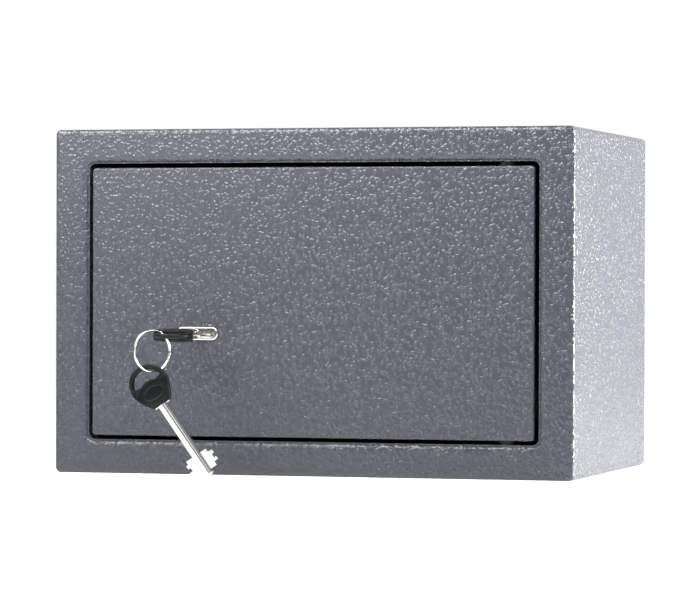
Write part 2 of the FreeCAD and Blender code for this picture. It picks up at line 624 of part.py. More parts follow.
def key_pieces(prefix):
    """The blade and the bow of one key, in the key's own frame."""
    neck, length = size("bow_length"), size("shaft_length")
    lie = Vector(1, 0, 0)
    shaft = rod(f"{prefix}_shaft", ("bow_length", 0, 0), lie, "shaft_radius", "shaft_length")
    parts = [softened(f"{prefix}_shaft_tip", shaft, size("tip_chamfer"),
                      lambda e: flat_at(e, "X", neck + length), chamfer=True)]
    for side, steps in ((-1, BITS_LEFT), (1, BITS_RIGHT)):
        at = neck + length - size("bit_setback")
        for number, (long, reach) in enumerate(steps, start=1):
            at -= long
            step = box(f"{prefix}_bit_{'rl'[side > 0]}{number}",
                       (at, 0 if side > 0 else -reach, "-bit_thick/2"), (long, reach, "bit_thick"))
            parts.append(step)
    parts.append(box(f"{prefix}_tang", ("bow_length", "-neck_half", "-tang_thick/2"),
                     ("tang_length", "2*neck_half", "tang_thick")))
    blade = joined(f"{prefix}_blade_raw", parts)

    radius, half = size("bow_radius"), size("neck_half")
    hub, crest = size("hub_radius"), size("hub_crest")
    strap_turn, hub_turn = (math.radians(size(word)) for word in ("strap_turn", "hub_turn"))
    neck_turn = math.atan2(half, neck - radius) + math.acos(radius / math.hypot(neck - radius, half))

    def around(reach, turn):
        return radius + reach * math.cos(turn), reach * math.sin(turn)

    tangent, shoulder = around(radius, neck_turn), around(radius, strap_turn)
    side_mid = around(radius, (neck_turn + strap_turn) / 2)
    inner = around(radius - 2 * size("strap_radius"), strap_turn)
    hub_foot = (crest + hub - hub * math.cos(hub_turn), hub * math.sin(hub_turn))

    def mirror(point):
        return point[0], -point[1]

    body = new_body(f"{prefix}_bow_plate")
    outline = new_sketch(body, f"{prefix}_bow_outline", "XY_Plane")
    draw_outline(outline, [
        (mirror(shoulder), mirror(side_mid), mirror(tangent)),
        (mirror(tangent), (neck, -half)), ((neck, -half), (neck, half)), ((neck, half), tangent),
        (tangent, side_mid, shoulder), (shoulder, inner), (inner, hub_foot),
        (hub_foot, (crest, 0), mirror(hub_foot)), (mirror(hub_foot), mirror(inner)),
        (mirror(inner), mirror(shoulder))])
    raised = pad(body, outline, "bow_thick", backwards=False)
    raised.SideType = "Symmetric"
    strap = doc.addObject("Part::Torus", f"{prefix}_strap")
    bind(strap, Radius1="bow_radius-strap_radius", Radius2="strap_radius")
    place(strap, "bow_radius", 0, 0)
    return blade, joined(f"{prefix}_bow_raw", [body, strap])


def moved(name, source, placement):
    """A copy of an object's shape at a place of its own."""
    made = doc.addObject("Part::Feature", name)
    made.Shape = source.Shape.copy()
    made.Placement = placement
    return node(name, made)


def frame_of(along, spread, origin):
    """The placement that lays a key's X axis along one direction and its Y along another."""
    face = along.cross(spread)
    matrix = FreeCAD.Matrix(along.x, spread.x, face.x, origin.x,
                            along.y, spread.y, face.y, origin.y,
                            along.z, spread.z, face.z, origin.z, 0, 0, 0, 1)
    return Placement(matrix)


def keys():
    blade, bow = key_pieces("key")
    doc.recompute()
    key_x, key_z = size("keyhole_across"), size("keyhole_up")
    strap, wire = size("strap_radius"), size("wire_radius")
    middle_of_bow = size("bow_radius")
    whole = size("bow_length") + size("shaft_length")

    # The first key lies in the lock, its bow flat and a little low, as far as its play lets it.
    droop = math.radians(size("key_droop"))
    along = Vector(0, math.cos(droop), math.sin(droop))
    spread = Vector(-1, 0, 0)
    rest = Vector(key_x, size("key_rest_back") - size("cabinet_depth") / 2, key_z)
    start = rest - along * (whole - size("key_tip_back") + size("key_rest_back"))
    first = frame_of(along, spread, start)
    moved("key_1_blade", blade, first)
    moved("key_1_bow", bow, first)

    # The ring stands upright across the strap of the first bow, below it and out in front.
    turn = math.radians(size("ring_turn"))
    strap_spot = (start + along * middle_of_bow
                  - (along * math.sin(turn) - spread * math.cos(turn)) * (middle_of_bow - strap))
    inwards = Vector(math.cos(turn), math.sin(turn), 0)
    offset = size("ring_offset")
    hold = size("ring_radius") - wire - strap - size("wire_clear")
    ring_middle = (strap_spot - inwards * offset
                   - Vector(0, 0, math.sqrt(hold ** 2 - offset ** 2)))
    ring = doc.addObject("Part::Torus", "key_ring")
    bind(ring, Radius1="ring_radius", Radius2="wire_radius")
    upright_turn = Rotation(Vector(0, 0, 1), inwards.cross(UP))
    ring.Placement = Placement(ring_middle, upright_turn)
    node("key_ring", ring)

    # The spare key hangs on the ring and leans until a bit rests on the ground.
    lean, hang, yaw = (math.radians(size(word)) for word in ("spare_lean", "spare_hang", "spare_yaw"))
    level = Vector(math.cos(yaw), math.sin(yaw), 0)
    along = level * math.sin(lean) - UP * math.cos(lean)
    spread = level * math.cos(lean) + UP * math.sin(lean)
    low_wire = ring_middle - UP * size("ring_radius")
    reach = middle_of_bow - 2 * strap - wire - size("spare_clear")
    start = (low_wire - along * (middle_of_bow - reach * math.cos(lean + hang))
             - spread * (reach * math.sin(lean + hang)))
    spare = frame_of(along, spread, start)
    moved("key_2_blade", blade, spare)
    moved("key_2_bow", bow, spare)


# --- build, check and write -------------------------------------------------------------------

def check():
    doc.recompute()
    for thing in doc.Objects:
        if "Invalid" in thing.State or "Error" in thing.State:
            raise RuntimeError(f"{thing.Name} failed: {thing.State}")
    for name, thing in nodes.items():
        if thing.Shape.isNull() or not thing.Shape.isValid() or not thing.Shape.Solids:
            raise RuntimeError(f"{name} has no valid solid")


def write():
    for name, thing in nodes.items():
        thing.Shape.exportStep(f"parts/{name}.step")
        spread = thing.Shape.BoundBox
        print(f"{name}: {len(thing.Shape.Solids)} solid, {thing.Shape.Volume / 1000:.2f} cm3,"
              f" z {spread.ZMin:.2f} to {spread.ZMax:.2f}")


cabinet()
door()
inner_cover()
lock()
bolt_work()
keys()
check()
write()
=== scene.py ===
import json
import math

import bmesh
import bpy
from bpy.props import FloatProperty, FloatVectorProperty, PointerProperty, StringProperty
from mathutils import Matrix, Vector


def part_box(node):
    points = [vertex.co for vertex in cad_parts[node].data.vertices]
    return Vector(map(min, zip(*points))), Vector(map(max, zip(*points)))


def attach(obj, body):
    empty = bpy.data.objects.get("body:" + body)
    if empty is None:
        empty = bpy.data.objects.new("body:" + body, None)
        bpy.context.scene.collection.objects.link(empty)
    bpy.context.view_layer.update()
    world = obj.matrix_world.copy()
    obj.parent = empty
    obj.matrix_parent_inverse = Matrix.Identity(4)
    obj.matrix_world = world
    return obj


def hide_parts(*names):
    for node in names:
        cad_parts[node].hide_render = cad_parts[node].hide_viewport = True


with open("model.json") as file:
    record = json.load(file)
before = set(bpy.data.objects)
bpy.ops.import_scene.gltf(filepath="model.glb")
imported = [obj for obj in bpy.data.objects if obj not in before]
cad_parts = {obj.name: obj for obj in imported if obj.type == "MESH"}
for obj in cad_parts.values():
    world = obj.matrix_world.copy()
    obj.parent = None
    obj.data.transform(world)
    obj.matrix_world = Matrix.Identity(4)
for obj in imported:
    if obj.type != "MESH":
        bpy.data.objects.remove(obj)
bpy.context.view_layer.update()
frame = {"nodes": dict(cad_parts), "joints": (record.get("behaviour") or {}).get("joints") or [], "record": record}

bl_info = {
    "name": "Key safe",
    "version": (1, 0, 0),
    "blender": (4, 5, 0),
    "location": "3D View > Sidebar > Safe",
    "description": "Builds the finishes, keys and studio of a small key-locked furniture safe",
    "category": "Object",
}

MM = 0.001
NODES = frame["nodes"]
JOINTS = {joint["name"]: joint for joint in frame["joints"]}
CORNER_STEPS = 8


# --- settings -------------------------------------------------------------------------------------

class SafeCoatSettings(bpy.types.PropertyGroup):
    """The powder coat on the cabinet and the door."""
    colour: StringProperty(name="Colour", description="Body colour of the powder coat, sRGB hex",
                           default="45464D")
    # Painted shade: the hollows of the grain get a darker colour than the crests.
    hollow_shade_colour: StringProperty(name="Hollow colour", description="Colour in the hollows of the grain",
                                default="3C3D44")
    grain: FloatProperty(name="Grain", description="Width of one bump of the orange peel",
                         default=2.3 * MM, unit="LENGTH", subtype="DISTANCE")
    relief: FloatProperty(name="Relief", description="Height of the orange peel",
                          default=0.38 * MM, unit="LENGTH", subtype="DISTANCE")
    roughness: FloatProperty(name="Roughness", description="Roughness of the film", default=0.22,
                             subtype="FACTOR", min=0.0, max=1.0)


class SafeSheetSettings(bpy.types.PropertyGroup):
    """Radii of the folded sheet steel."""
    outer_radius: FloatProperty(name="Outer edge", description="Radius of the frame's outer front edge",
                                default=1.9 * MM, unit="LENGTH", subtype="DISTANCE")
    lip_radius: FloatProperty(name="Lip bend", description="Radius of the bend where the lip turns in",
                              default=4.2 * MM, unit="LENGTH", subtype="DISTANCE")
    lip_corner: FloatProperty(name="Lip corner", description="Corner radius of the door opening",
                              default=3.6 * MM, unit="LENGTH", subtype="DISTANCE")
    door_edge: FloatProperty(name="Door edge", description="Radius of the door's front edge",
                             default=1.1 * MM, unit="LENGTH", subtype="DISTANCE")


class SafeKeySettings(bpy.types.PropertyGroup):
    """Sizes of the double-bit keys and their ring."""
    bow_radius: FloatProperty(name="Bow radius", description="Half the width of the bow",
                              default=11.4 * MM, unit="LENGTH", subtype="DISTANCE")
    strap: FloatProperty(name="Strap", description="Width of the strap round the bow's slot",
                         default=3.0 * MM, unit="LENGTH", subtype="DISTANCE")
    lean: FloatProperty(name="Lean", description="Lean of the spare key from upright",
                        default=math.radians(34.3), unit="ROTATION", subtype="ANGLE")
    hang: FloatProperty(name="Hang", description="How far round the slot the ring carries the spare key",
                        default=math.radians(13.5), unit="ROTATION", subtype="ANGLE")
    droop: FloatProperty(name="Droop", description="How far the key in the lock sags in its play",
                         default=math.radians(0.8), unit="ROTATION", subtype="ANGLE")
    heading: FloatProperty(name="Heading", description="How far the spare key turns back",
                           default=math.radians(12.0), unit="ROTATION", subtype="ANGLE")
    wire: FloatProperty(name="Ring wire", description="Thickness of one coil of the split ring",
                        default=0.75 * MM, unit="LENGTH", subtype="DISTANCE")
    plastic: StringProperty(name="Plastic", description="Colour of the moulded bow, sRGB hex",
                            default="0B0C0E")


class SafeStudioSettings(bpy.types.PropertyGroup):
    """Camera and light."""
    lens: FloatProperty(name="Lens", description="Focal length on a 36 mm sensor",
                        default=192.0, unit="CAMERA", subtype="NONE")
    place: FloatVectorProperty(name="Camera", description="Where the camera stands",
                               default=(0.6091, -2.1508, 0.1115), unit="LENGTH", subtype="TRANSLATION")
    yaw: FloatProperty(name="Yaw", description="Camera heading", default=math.radians(15.919),
                       unit="ROTATION", subtype="ANGLE")
    pitch: FloatProperty(name="Pitch", description="Camera tilt", default=math.radians(-0.372),
                         unit="ROTATION", subtype="ANGLE")
    roll: FloatProperty(name="Roll", description="Camera roll", default=math.radians(0.174),
                        unit="ROTATION", subtype="ANGLE")
    sky: FloatProperty(name="Sky", description="Strength of the white surround", default=1.0, min=0.0)
    shade: FloatProperty(name="Shade", description="Strength of the dim room in front", default=0.12, min=0.0)


# --- materials --------------------------------------------------------------------------------------

def linear(code, alpha=1.0):
    """An sRGB hex colour as linear RGBA."""
    parts = [int(code[i:i + 2], 16) / 255 for i in (0, 2, 4)]
    turned = [c / 12.92 if c <= 0.04045 else ((c + 0.055) / 1.055) ** 2.4 for c in parts]
    return (*turned, alpha)


def add_node(tree, kind, inputs=None, **settings):
    """A node with its settings; each input gets a number, a colour or another node's socket."""
    made = tree.nodes.new(kind)
    for word, value in settings.items():
        setattr(made, word, value)
    for socket, value in (inputs or {}).items():
        if isinstance(value, bpy.types.NodeSocket):
            tree.links.new(value, made.inputs[socket])
        else:
            made.inputs[socket].default_value = value
    return made


def new_material(name, **shader):
    """A material with one Principled shader whose uniform values are set on its own sockets."""
    made = bpy.data.materials.new(name)
    made.use_nodes = True
    tree = made.node_tree
    tree.nodes.clear()
    principled = add_node(tree, "ShaderNodeBsdfPrincipled",
                          {word.replace("_", " "): value for word, value in shader.items()})
    add_node(tree, "ShaderNodeOutputMaterial", {"Surface": principled.outputs["BSDF"]})
    made.diffuse_color = shader.get("Base_Color", (0.5, 0.5, 0.5, 1.0))
    return made, tree, principled


def powder_coat():
    """Polyester powder coat, sprayed and baked: a soft orange peel that breaks up every highlight."""
    coat = bpy.context.scene.safe_coat
    # The real peel is a few hundredths of a millimetre high; it is drawn higher so that it shows.
    made, tree, shader = new_material("textured_powder_coat", Roughness=coat.roughness, IOR=1.5,
                                      Specular_IOR_Level=0.5)
    where = add_node(tree, "ShaderNodeTexCoord").outputs["Object"]
    drift = add_node(tree, "ShaderNodeTexNoise", {"Vector": where, "Scale": 0.6 / coat.grain, "Detail": 1.0})
    wander = add_node(tree, "ShaderNodeVectorMath", {0: drift.outputs["Color"], 1: (0.5, 0.5, 0.5)},
                      operation="SUBTRACT")
    spread = add_node(tree, "ShaderNodeVectorMath", {0: wander.outputs[0], "Scale": 1.6 * coat.grain},
                      operation="SCALE")
    bent = add_node(tree, "ShaderNodeVectorMath", {0: where, 1: spread.outputs[0]}, operation="ADD")
    cells = add_node(tree, "ShaderNodeTexVoronoi", {"Vector": bent.outputs[0], "Scale": 1 / coat.grain,
                                                    "Smoothness": 0.55}, feature="SMOOTH_F1")
    fine = add_node(tree, "ShaderNodeTexNoise", {"Vector": where, "Scale": 2.2 / coat.grain, "Detail": 2.0})
    beads = add_node(tree, "ShaderNodeMapRange", {"Value": cells.outputs["Distance"], "From Min": 0.08,
                                                  "From Max": 0.60, "To Min": 1.0, "To Max": 0.0},
                     interpolation_type="SMOOTHSTEP")
    height = add_node(tree, "ShaderNodeMath", {0: fine.outputs["Fac"], 1: 0.35, 2: beads.outputs[0]},
                      operation="MULTIPLY_ADD")
    relief = add_node(tree, "ShaderNodeBump", {"Height": height.outputs[0], "Distance": coat.relief,
                                               "Strength": 1.0})
    tree.links.new(relief.outputs["Normal"], shader.inputs["Normal"])
    # Painted shade: away from the crest of each bump the coat is mixed towards the darker hollow colour.
    tone = add_node(tree, "ShaderNodeMix", {"Factor": cells.outputs["Distance"], 6: linear(coat.colour),
                                            7: linear(coat.hollow_shade_colour)}, data_type="RGBA")
    tree.links.new(tone.outputs[2], shader.inputs["Base Color"])
    return made


def nickel_plate():
    """Bright nickel plate over stamped steel: mirror-like, a little warm, with faint handling haze."""
    made, tree, shader = new_material("bright_nickel_plate", Base_Color=linear("DCDAD6"), Metallic=1.0,
                                      Roughness=0.16)
    where = add_node(tree, "ShaderNodeTexCoord").outputs["Object"]
    haze = add_node(tree, "ShaderNodeTexNoise", {"Vector": where, "Scale": 1 / (3 * MM), "Detail": 3.0})
    dull = add_node(tree, "ShaderNodeMapRange", {"Value": haze.outputs["Fac"],
                                                 "To Min": 0.10, "To Max": 0.26})
    tree.links.new(dull.outputs[0], shader.inputs["Roughness"])
    return made


def zinc_steel():
    """Zinc-plated pressed steel: grey, satin, with a faint crystal mottle."""
    made, tree, shader = new_material("zinc_plated_steel", Metallic=1.0)
    where = add_node(tree, "ShaderNodeTexCoord").outputs["Object"]
    mottle = add_node(tree, "ShaderNodeTexVoronoi", {"Vector": where, "Scale": 1 / (4 * MM)})
    tone = add_node(tree, "ShaderNodeMix", {"Factor": mottle.outputs["Distance"], 6: linear("B9BCC0"),
                                            7: linear("A3A6AB")}, data_type="RGBA")
    dull = add_node(tree, "ShaderNodeMapRange", {"Value": mottle.outputs["Distance"],
                                                 "To Min": 0.30, "To Max": 0.42})
    tree.links.new(tone.outputs[2], shader.inputs["Base Color"])
    tree.links.new(dull.outputs[0], shader.inputs["Roughness"])
    return made


def ground_steel():
    """Centreless-ground steel bar: fine rings round the bar from the wheel."""
    made, tree, shader = new_material("ground_steel", Base_Color=linear("C4C5C7"), Metallic=1.0,
                                      Roughness=0.24)
    where = add_node(tree, "ShaderNodeTexCoord").outputs["Object"]
    stretched = add_node(tree, "ShaderNodeMapping", {"Vector": where, "Scale": (8.0, 1.0, 1.0)})
    lines = add_node(tree, "ShaderNodeTexNoise", {"Vector": stretched.outputs[0], "Scale": 1 / (3 * MM)})
    relief = add_node(tree, "ShaderNodeBump", {"Height": lines.outputs["Fac"], "Distance": 0.01 * MM})
    tree.links.new(relief.outputs["Normal"], shader.inputs["Normal"])
    return made


def stamped_brass():
    """Stamped sheet brass with a light tarnish."""
    made, tree, shader = new_material("stamped_brass", Metallic=1.0)
    where = add_node(tree, "ShaderNodeTexCoord").outputs["Object"]
    tarnish = add_node(tree, "ShaderNodeTexNoise", {"Vector": where, "Scale": 1 / (9 * MM), "Detail": 4.0})
    tone = add_node(tree, "ShaderNodeMix", {"Factor": tarnish.outputs["Fac"], 6: linear("D8B566"),
                                            7: linear("B08C48")}, data_type="RGBA")
    dull = add_node(tree, "ShaderNodeMapRange", {"Value": tarnish.outputs["Fac"],
                                                 "To Min": 0.22, "To Max": 0.42})
    tree.links.new(tone.outputs[2], shader.inputs["Base Color"])
    tree.links.new(dull.outputs[0], shader.inputs["Roughness"])
    return made


def moulded_nylon():
    """Black nylon moulded over the blade: a fine spark-eroded grain gives it a soft satin sheen."""
    keys = bpy.context.scene.safe_keys
    made, tree, shader = new_material("moulded_black_nylon", Base_Color=linear(keys.plastic), IOR=1.53,
                                      Specular_IOR_Level=0.2, Roughness=0.36)
    where = add_node(tree, "ShaderNodeTexCoord").outputs["Object"]
    # The real grain is about 0.05 mm wide; it is drawn at 0.35 mm so that it shows.
    grain = add_node(tree, "ShaderNodeTexNoise", {"Vector": where, "Scale": 1 / (0.35 * MM), "Detail": 2.0})
    relief = add_node(tree, "ShaderNodeBump", {"Height": grain.outputs["Fac"], "Distance": 0.03 * MM})
    tree.links.new(relief.outputs["Normal"], shader.inputs["Normal"])
    dull = add_node(tree, "ShaderNodeMapRange", {"Value": grain.outputs["Fac"],
                                                 "To Min": 0.30, "To Max": 0.42})
    tree.links.new(dull.outputs[0], shader.inputs["Roughness"])
    return made


FINISHES = {
    "powder_coat": powder_coat,
    "zinc_steel": zinc_steel,
    "bright_steel": ground_steel,
    "brass": stamped_brass,
    "nickel_plate": nickel_plate,
    "black_nylon": moulded_nylon,
}
finished = {}


def finish_of(slot):
    """The material of a slot of the record, made once."""
    if slot not in finished:
        finished[slot] = FINISHES[slot]()
    return finished[slot]


# --- mesh helpers -------------------------------------------------------------------------------

def rounded_loop(middle, half_w, half_h, radius, depth):
    """A rounded rectangle in a plane of constant Y, its points counter-clockwise from the front."""
    points = []
    for quarter, (sx, sz) in enumerate(((1, 1), (-1, 1), (-1, -1), (1, -1))):
        centre = (middle[0] + sx * (half_w - radius), middle[1] + sz * (half_h - radius))
        for step in range(CORNER_STEPS + 1):
            turn = math.radians(90) * (quarter + step / CORNER_STEPS)
            points.append(Vector((centre[0] + radius * math.cos(turn), depth,
                                  centre[1] + radius * math.sin(turn))))
    return points


def looped_mesh(name, loops, closed=True):
    """Strips of quads between loops of equal length; closed joins the last loop to the first."""
    count = len(loops[0])
    mesh = bpy.data.meshes.new(name)
    points = [point for loop in loops for point in loop]
    faces = []
    for i in range(len(loops) if closed else len(loops) - 1):
        low, high = i * count, (i + 1) % len(loops) * count
        for j in range(count):
            k = (j + 1) % count
            faces.append((low + j, low + k, high + k, high + j))
    mesh.from_pydata([tuple(point) for point in points], [], faces)
    return mesh


def new_piece(name, mesh, body, slot, *replaced, sharp=50.0):
    """A finished piece: clean normals, material, body, slot and the CAD nodes it stands for."""
    shape = bmesh.new()
    shape.from_mesh(mesh)
    bmesh.ops.remove_doubles(shape, verts=shape.verts, dist=1e-7)
    bmesh.ops.recalc_face_normals(shape, faces=shape.faces)
    shape.to_mesh(mesh)
    shape.free()
    mesh.shade_smooth()
    mesh.set_sharp_from_angle(angle=math.radians(sharp))
    made = bpy.data.objects.new(name, mesh)
    bpy.context.scene.collection.objects.link(made)
    made.data.materials.append(finish_of(slot))
    weighted = made.modifiers.new("even_normals", "WEIGHTED_NORMAL")
    weighted.keep_sharp = True
    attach(made, body)
    if replaced:
        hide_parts(*replaced)
    return made


def arc(start, end, steps):
    """Shares of a quarter turn from start to end, in radians."""
    return [start + (end - start) * step / steps for step in range(steps + 1)]


# --- cabinet --------------------------------------------------------------------------------------

def make_front_frame():
    """Flat border with rounded outer edges and a wide roll into the opening."""
    sheet = bpy.context.scene.safe_sheet
    low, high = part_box("front_frame")
    middle = (0.0, (low.z + high.z) / 2)
    half_w, half_h = (high.x - low.x) / 2, (high.z - low.z) / 2
    front, rim_back = low.y, high.y
    border_w, border_h = 20.5 * MM, 19.75 * MM
    corner, least_corner = 3 * MM, 0.6 * MM
    # The outer edge is drawn out along the face, wider than it is deep.
    drawn_out = 1.6

    def loop(inset, depth, radius, extra_w=0.0, extra_h=0.0):
        return rounded_loop(middle, half_w - inset - extra_w, half_h - inset - extra_h, radius, depth)

    loops = [loop(0, rim_back, corner)]
    edge = sheet.outer_radius
    for turn in arc(0, math.pi / 2, 6):
        inset = drawn_out * edge * (1 - math.cos(turn))
        loops.append(loop(inset, front + edge * (1 - math.sin(turn)), max(corner - inset, least_corner)))
    bend = sheet.lip_radius
    inner_w, inner_h = half_w - border_w, half_h - border_h

    def lip(out, depth):
        return rounded_loop(middle, inner_w + out, inner_h + out, sheet.lip_corner + out, depth)

    # The roll ends a little way into the jamb, which carries on behind it.
    seat, hidden = 2.4 * MM, 1.5 * MM
    for turn in arc(math.pi / 2, math.asin(1 - seat / bend), 8):
        loops.append(lip(bend * (1 - math.cos(turn)), front + bend * (1 - math.sin(turn))))
    loops.append(lip(hidden, front + seat))
    loops.append(lip(hidden, rim_back))
    new_piece("frame_front", looped_mesh("frame_front", loops), "cabinet", "powder_coat", "front_frame")


def make_door_plate():
    """Door plate with softly rounded front edges and the obround hole for the bezel."""
    sheet = bpy.context.scene.safe_sheet
    low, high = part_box("door_plate")
    bezel_low, bezel_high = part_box("keyhole_bezel")
    middle = ((low.x + high.x) / 2, (low.z + high.z) / 2)
    half_w, half_h = 132 * MM, 77.75 * MM
    front, back = high.y - 3 * MM, high.y
    corner, edge = 2 * MM, sheet.door_edge
    hole_middle = ((bezel_low.x + bezel_high.x) / 2, 81.6 * MM)
    hole_w, hole_h = 12.72 * MM, 3.92 * MM

    loops = [rounded_loop(middle, half_w, half_h, corner, back)]
    for turn in arc(0, math.pi / 2, 6):
        inset = edge * (1 - math.cos(turn))
        loops.append(rounded_loop(middle, half_w - inset, half_h - inset, max(corner - inset, 0.5 * MM),
                                  front + edge * (1 - math.sin(turn))))
    for turn in arc(math.pi / 2, 0, 3):
        out = 0.4 * MM * (1 - math.cos(turn))
        loops.append(rounded_loop(hole_middle, hole_w + out, hole_h + out, hole_h + out,
                                  front + 0.4 * MM * (1 - math.sin(turn))))
    loops.append(rounded_loop(hole_middle, hole_w, hole_h, hole_h, back))
    new_piece("door_front", looped_mesh("door_front", loops), "door", "powder_coat", "door_plate")


# --- keys -------------------------------------------------------------------------------------------

BITS_LEFT = ((2.2, 8.0), (2.4, 9.2), (2.2, 6.8), (2.2, 8.4), (2.2, 7.0))
BITS_RIGHT = ((2.4, 6.6), (2.0, 9.2), (2.2, 7.8), (2.4, 9.2), (2.2, 6.6))
NECK, SHAFT, SHAFT_RADIUS = 25.0 * MM, 48.0 * MM, 2.9 * MM


def key_places():
    """The frames of the key in the lock and of the spare key: X along the key, Y across its bits."""
    keys = bpy.context.scene.safe_keys
    # The key in the lock sags about a point behind the door's face, and its tip reaches past it.
    behind_face, tip_past_pivot = 5 * MM, 9.5 * MM
    pivot = Vector(JOINTS["key_turn"]["pos_m"]) + Vector((0, behind_face, 0))
    c, s = math.cos(keys.droop), math.sin(keys.droop)
    start = pivot - Vector((0, c, s)) * (NECK + SHAFT - tip_past_pivot)
    first = Matrix(((0, -1, 0, start.x), (c, 0, -s, start.y), (s, 0, c, start.z), (0, 0, 0, 1)))

    level = Vector((math.cos(keys.heading), math.sin(keys.heading), 0))
    up = Vector((0, 0, 1))
    along = level * math.sin(keys.lean) - up * math.cos(keys.lean)
    spread = level * math.cos(keys.lean) + up * math.sin(keys.lean)
    face = along.cross(spread)
    wire = Vector(JOINTS["spare_key_swing"]["pos_m"])
    reach = keys.bow_radius - keys.strap - 1.2 * MM
    start = (wire - along * (keys.bow_radius - reach * math.cos(keys.lean + keys.hang))
             - spread * (reach * math.sin(keys.lean + keys.hang)))
    spare = Matrix(((along.x, spread.x, face.x, start.x), (along.y, spread.y, face.y, start.y),
                    (along.z, spread.z, face.z, start.z), (0, 0, 0, 1)))
    return first, spare


def around_bow(reach, turn):
    """A point of the bow's plane by its distance from the bow's middle and its angle from the key."""
    return bpy.context.scene.safe_keys.bow_radius + reach * math.cos(turn), reach * math.sin(turn)


def hub_outline():
    """The solid half of the bow: flanks drawn in to the neck, and a convex arc facing the slot."""
    keys = bpy.context.scene.safe_keys
    strap_end, crest, hub = math.radians(99.8), 9.2 * MM, 6.6 * MM
    flank = [around_bow(keys.bow_radius, turn) for turn in arc(strap_end, math.radians(62), 8)]
    start = flank[-1]
    for share in arc(0.2, 1.0, 5):
        flank.append((start[0] + (NECK - start[0]) * share,
                      start[1] + (5.4 * MM - start[1]) * share + 0.5 * MM * math.sin(math.pi * share)))
    inner = [around_bow(keys.bow_radius - keys.strap, strap_end)]
    facing = [(crest + hub - hub * math.cos(turn), hub * math.sin(turn))
              for turn in arc(math.radians(40), math.radians(-40), 14)]
    mirrored = [(x, -y) for x, y in reversed(flank)]
    return mirrored + [(x, -y) for x, y in inner] + facing[::-1] + inner + flank


def bow_mesh():
    """One moulded bow: a round strap that thickens into the hub, rounded edges and a plain lens."""
    keys = bpy.context.scene.safe_keys
    half = 4.6 * MM
    shape = bmesh.new()
    face = shape.faces.new([shape.verts.new((x, y, -half)) for x, y in hub_outline()])
    raised = bmesh.ops.extrude_face_region(shape, geom=[face])
    lifted = [v for v in raised["geom"] if isinstance(v, bmesh.types.BMVert)]
    bmesh.ops.translate(shape, vec=(0, 0, 2 * half), verts=lifted)
    bmesh.ops.triangulate(shape, faces=shape.faces)
    for vertex in shape.verts:
        vertex.co.z *= 0.55 + 0.45 * smooth_rise(vertex.co.x, 9 * MM, 14 * MM)
    middle = keys.bow_radius - keys.strap / 2
    loops = []
    for turn in arc(math.radians(86), math.radians(274), 72):
        outward = Vector((math.cos(turn), math.sin(turn), 0))
        centre = Vector((keys.bow_radius, 0, 0)) + outward * middle
        loops.append([centre + (outward * math.cos(spin) + Vector((0, 0, math.sin(spin))))
                      * (0.52 * keys.strap) for spin in arc(0, 2 * math.pi, 16)[:-1]])
    strap = capped(looped_mesh("strap", loops, closed=False))
    shape.from_mesh(strap)
    bpy.data.meshes.remove(strap)
    bmesh.ops.recalc_face_normals(shape, faces=shape.faces)
    mesh = bpy.data.meshes.new("bow")
    shape.to_mesh(mesh)
    shape.free()
    block = bpy.data.objects.new("bow_block", mesh)
    bpy.context.scene.collection.objects.link(block)
    remesh = block.modifiers.new("even_skin", "REMESH")
    remesh.mode = "VOXEL"
    remesh.voxel_size = 0.22 * MM
    soften = block.modifiers.new("soften", "SMOOTH")
    soften.factor = 0.5
    soften.iterations = 7
    depsgraph = bpy.context.evaluated_depsgraph_get()
    made = bpy.data.meshes.new_from_object(block.evaluated_get(depsgraph))
    bpy.data.objects.remove(block)
    for vertex in made.vertices:
        x, y, z = vertex.co
        crown = 1 - 0.30 * (y / keys.bow_radius) ** 2 - 0.22 * smooth_rise(x, 17 * MM, 25 * MM)
        lens = math.hypot((x - 17.0 * MM) / (3.6 * MM), y / (6.2 * MM))
        dip = 0.45 * MM * (1 - smooth_rise(lens, 0.86, 1.06)) if abs(z) > 0.5 * half else 0.0
        groove = 0.14 * MM * (1 - smooth_rise(abs(lens - 1.18), 0.0, 0.10)) if abs(z) > 0.5 * half else 0.0
        hub = smooth_rise(x, 8.5 * MM, 11 * MM)
        vertex.co.z = z * (1 + (crown - 1) * hub) - math.copysign((dip + groove) * hub, z)
    return made


def smooth_rise(value, low, high):
    """0 up to the low value, 1 from the high value, and an easy slope between them."""
    share = min(max((value - low) / (high - low), 0.0), 1.0)
    return share * share * (3 - 2 * share)


def capped(mesh):
    """The same mesh with its open ends closed."""
    shape = bmesh.new()
    shape.from_mesh(mesh)
    bmesh.ops.holes_fill(shape, edges=[e for e in shape.edges if e.is_boundary], sides=0)
    shape.to_mesh(mesh)
    shape.free()
    return mesh


